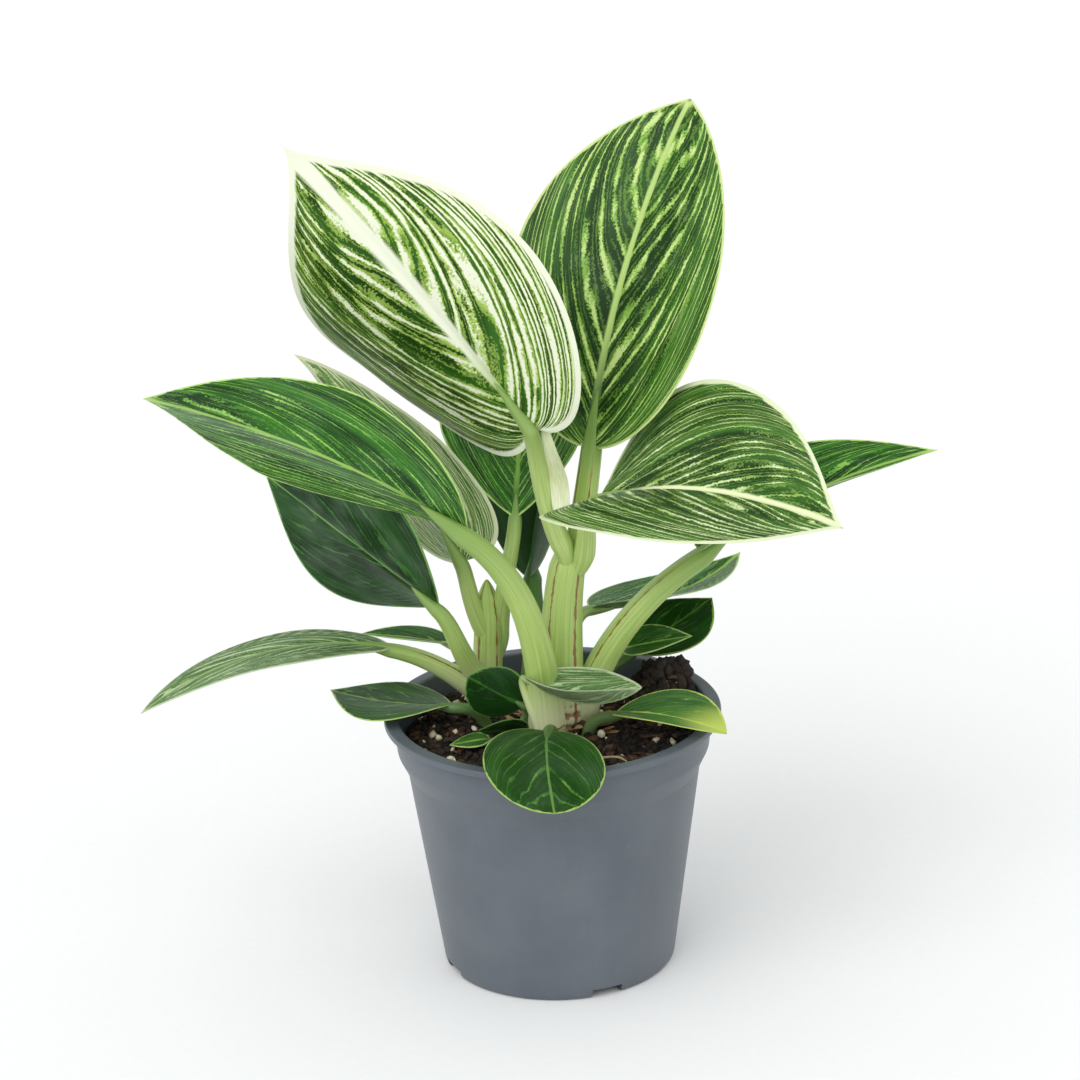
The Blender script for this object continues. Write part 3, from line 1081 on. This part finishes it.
stalks = {
    "light": stalk_finish("smooth_stalk_light", "#c8da90", "#a3bf62", "#8a4a30", 0.0),
    "seamed": stalk_finish("smooth_stalk_seamed", "#c2d684", "#98b757", "#8c4a34", 0.85),
    "dark": stalk_finish("smooth_stalk_dark", "#5f8840", "#3b6426", "#5a4a2c", 0.0, 0.1),
}
print("stalk finishes:", list(stalks))

# %% Sheaths, flakes and roots
def fibre_finish(name, light, dark, roughness, fibre, object_scale):
    """Fibres along the piece, `fibre` mm wide, over patches object_scale mm wide, both as colour."""
    material, tree, shader = finish(name, Roughness=roughness, IOR=1.45)
    place = add(tree, "Attribute", attribute_name="first_place").outputs["Vector"]
    drawn = add(tree, "VectorMath", {0: place, 1: (1 / fibre, 1 / fibre, 0.15)}, operation="MULTIPLY")
    fibres = add(tree, "TexNoise", {"Vector": drawn, "Scale": 1.0, "Detail": 3.0})
    spot = add(tree, "TexCoord").outputs["Object"]
    patch = add(tree, "TexNoise", {"Vector": spot, "Scale": 1 / (object_scale * MM), "Detail": 2.0})
    tone = add(tree, "Math", {0: fibres, 1: patch}, operation="ADD")
    tone = add(tree, "MapRange", {"Value": tone, 1: 0.75, 2: 1.25})
    colour = add(tree, "Mix", {0: tone, 6: dark, 7: light}, data_type="RGBA")
    bump = add(tree, "Bump", {"Strength": 0.5, "Distance": 0.2 * MM, "Height": fibres})
    tree.links.new(colour.outputs[2], shader.inputs["Base Color"])
    tree.links.new(bump.outputs[0], shader.inputs["Normal"])
    return material


young_sheath = fibre_finish("satin_young_sheath", "#eef0d2", "#cfd9a0", 0.5, 0.9, 14)
dry_paper = fibre_finish("dry_sheath_paper", "#b8976a", "#6a4a2e", 0.85, 0.6, 5)
root_skin = fibre_finish("pale_root_skin", "#cdbf98", "#97825a", 0.8, 0.8, 4)
print("fibre finishes made")


# %% [markdown]
# ## Pot and soil finishes
#
# Injection-moulded polypropylene is satin, index 1.49, and slightly cloudy where the plastic ran
# into the mould, with a very fine spark-eroded grain. Peat is nearly black when damp and fully
# matt. Bark chips are red-brown with a fibrous face. Perlite is volcanic glass popped by heat:
# chalky white, stained a little yellow, and pitted.

# %% Pot plastic
def plastic_finish():
    """Cloudy patches 30 mm wide, faint upright draw marks, and a grain of 0.35 mm as bump."""
    material, tree, shader = finish("moulded_polypropylene", IOR=1.49, Roughness=0.42)
    spot = add(tree, "TexCoord").outputs["Object"]
    cloud = add(tree, "TexNoise", {"Vector": spot, "Scale": 1 / (30 * MM), "Detail": 3.0})
    drawn = add(tree, "Mapping", {"Vector": spot, "Scale": (1 / (2 * MM), 1 / (2 * MM), 1 / (45 * MM))})
    marks = add(tree, "TexNoise", {"Vector": drawn, "Scale": 1.0, "Detail": 2.0})
    tone = add(tree, "Math", {0: marks, 1: 0.12, 2: cloud}, operation="MULTIPLY_ADD")
    tone = add(tree, "MapRange", {"Value": tone, 1: 0.4, 2: 0.75})
    colour = add(tree, "Mix", {0: tone, 6: "#555c64", 7: "#60676e"}, data_type="RGBA")
    dust = add(tree, "TexNoise", {"Vector": spot, "Scale": 1 / (0.9 * MM), "Detail": 2.0})
    specks = add(tree, "MapRange", {"Value": dust, 1: 0.7, 2: 0.76, 3: 0.0, 4: 0.35})
    colour = add(tree, "Mix", {0: specks, 6: colour, 7: "#8d8a84"}, data_type="RGBA")
    gloss = add(tree, "MapRange", {"Value": cloud, 3: 0.36, 4: 0.5})
    grain = add(tree, "TexNoise", {"Vector": spot, "Scale": 1 / (0.35 * MM), "Detail": 1.0})
    bump = add(tree, "Bump", {"Strength": 0.12, "Distance": 0.05 * MM, "Height": grain})
    tree.links.new(colour.outputs[2], shader.inputs["Base Color"])
    tree.links.new(gloss.outputs[0], shader.inputs["Roughness"])
    tree.links.new(bump.outputs[0], shader.inputs["Normal"])
    return material


# %% Peat, bark and perlite
def crumb_finish(name, dark, light, grain_size, pits, roughness):
    """Two colours mixed by grain and by each stone's own shade; pits of grain_size mm as bump."""
    material, tree, shader = finish(name, Roughness=roughness, IOR=1.5)
    spot = add(tree, "TexCoord").outputs["Object"]
    own = add(tree, "SeparateXYZ", {0: add(tree, "Attribute",
                                           attribute_name="first_place").outputs["Vector"]})
    grain = add(tree, "TexNoise", {"Vector": spot, "Scale": 1 / (grain_size * MM), "Detail": 4.0,
                                   "Roughness": 0.65})
    tone = add(tree, "Math", {0: own.outputs["X"], 1: 0.5, 2: grain}, operation="MULTIPLY_ADD")
    tone = add(tree, "MapRange", {"Value": tone, 1: 0.4, 2: 1.05})
    colour = add(tree, "Mix", {0: tone, 6: dark, 7: light}, data_type="RGBA")
    bump = add(tree, "Bump", {"Strength": 0.7, "Distance": pits * MM, "Height": grain})
    tree.links.new(colour.outputs[2], shader.inputs["Base Color"])
    tree.links.new(bump.outputs[0], shader.inputs["Normal"])
    return material


pot_plastic = plastic_finish()
peat = crumb_finish("damp_peat", "#110d09", "#3a2d23", 1.6, 0.6, 0.95)
bark_skin = crumb_finish("bark_fibre", "#2c1b12", "#744c31", 1.1, 0.4, 0.8)
perlite_glass = crumb_finish("popped_perlite", "#cfc49c", "#f1ead2", 1.2, 0.4, 0.9)
print("pot and soil finishes made")


# %% [markdown]
# ## Every piece gets its finish, its place in the part, and its slot
#
# Each finer piece takes the place of a packed one, which keeps its record: the pot, the soil, the
# stems, the sheath and all the leaves. Loose crumbs, flakes and roots are new and ride with them.

# %% Finishes and slots
SEAMED = {"leaf_left", "leaf_far_right", "leaf_low_left", "leaf_mid_left", "leaf_top"}
DARK_STALKS = {"leaf_centre_dark", "leaf_crown_round", "leaf_crown_low", "leaf_seedling", "leaf_rim_front",
               "leaf_rim_left", "leaf_rim_right", "leaf_right_back"}
dict.fromkeys(("leaf_top", "leaf_right", "leaf_left", "leaf_far_right", "leaf_right_slim",
                            "leaf_low_left", "leaf_centre_back"), "leaf_striped")


def dress(piece, materials, replaces=None):
    """Gives a piece its materials, ties it to the part's one body, and names what it replaces."""
    for material in materials:
        piece.data.materials.append(material)
    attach(piece, "root")
    if replaces:
        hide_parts(replaces)


for leaf in LEAVES:
    name = leaf["name"]
    stalk = "seamed" if name in SEAMED else "dark" if name in DARK_STALKS else "light"
    top, underside = blades[leaf["finish"]]
    faces = (underside, top) if name in OVERTURNED else (top, underside)
    dress(leaf_pieces[name], (*faces, stalks[stalk]),
          name)
for name, piece in stem_pieces.items():
    dress(piece, [stalks["seamed"]], name)
dress(cream_sheath, [young_sheath], "cream_sheath")
dress(flakes, [dry_paper])
dress(roots, [root_skin])
dress(pot, [pot_plastic], "nursery_pot")
dress(soil_bed, [peat], "potting_soil")
for piece, material in ((crumbs, peat), (clods, peat), (bark, bark_skin), (perlite, perlite_glass)):
    dress(piece, [material])
print("dressed:", len(LEAVES) + 10, "pieces")


# %% [markdown]
# ## Floor and light
#
# The plant stands on a sheet of white card that reaches far behind it. Soft light comes from
# above to the left, weaker light fills from the right, and a pale surround lights the rest, so
# that shadows are soft and only the one under the pot is clear.

# %% Floor
def make_floor():
    """A card 12 m across at height 0, nearly white, with a grain too faint to notice."""
    half = 6000
    floor = new_piece("white_card", [(-half, -half, 0), (half, -half, 0), (half, half, 0),
                                     (-half, half, 0)],
                      [(0, 1, 2, 3)])
    material, tree, shader = finish("white_card_surface", Roughness=0.9)
    spot = add(tree, "TexCoord").outputs["Object"]
    grain = add(tree, "TexNoise", {"Vector": spot, "Scale": 1 / (3 * MM), "Detail": 2.0})
    colour = add(tree, "Mix", {0: grain, 6: "#f4f4f3", 7: "#f8f8f7"}, data_type="RGBA")
    tree.links.new(colour.outputs[2], shader.inputs["Base Color"])
    floor.data.materials.append(material)
    return floor


def make_sun(name, place, strength, spread):
    """Even light from one side, as from a very large soft box far away: spread is its angle."""
    data = bpy.data.lights.new(name, "SUN")
    data.energy, data.angle = strength, math.radians(spread)
    light = bpy.data.objects.new(name, data)
    light.location = place
    light.rotation_euler = (Vector(TARGET * MM) - Vector(place)).to_track_quat("-Z", "Y").to_euler()
    bpy.context.scene.collection.objects.link(light)


make_floor()
make_sun("window_light", (-0.9, -1.3, 1.7), 1.15, 50)
make_sun("fill_light", (1.2, -1.9, 1.0), 0.4, 70)
world = bpy.data.worlds.new("pale_surround")
world.use_nodes = True
world.node_tree.nodes["Background"].inputs["Color"].default_value = linear("#f3f5f7")
world.node_tree.nodes["Background"].inputs["Strength"].default_value = 0.92
bpy.context.scene.world = world
bpy.context.scene.view_settings.view_transform = "Standard"
print("floor and lights made")
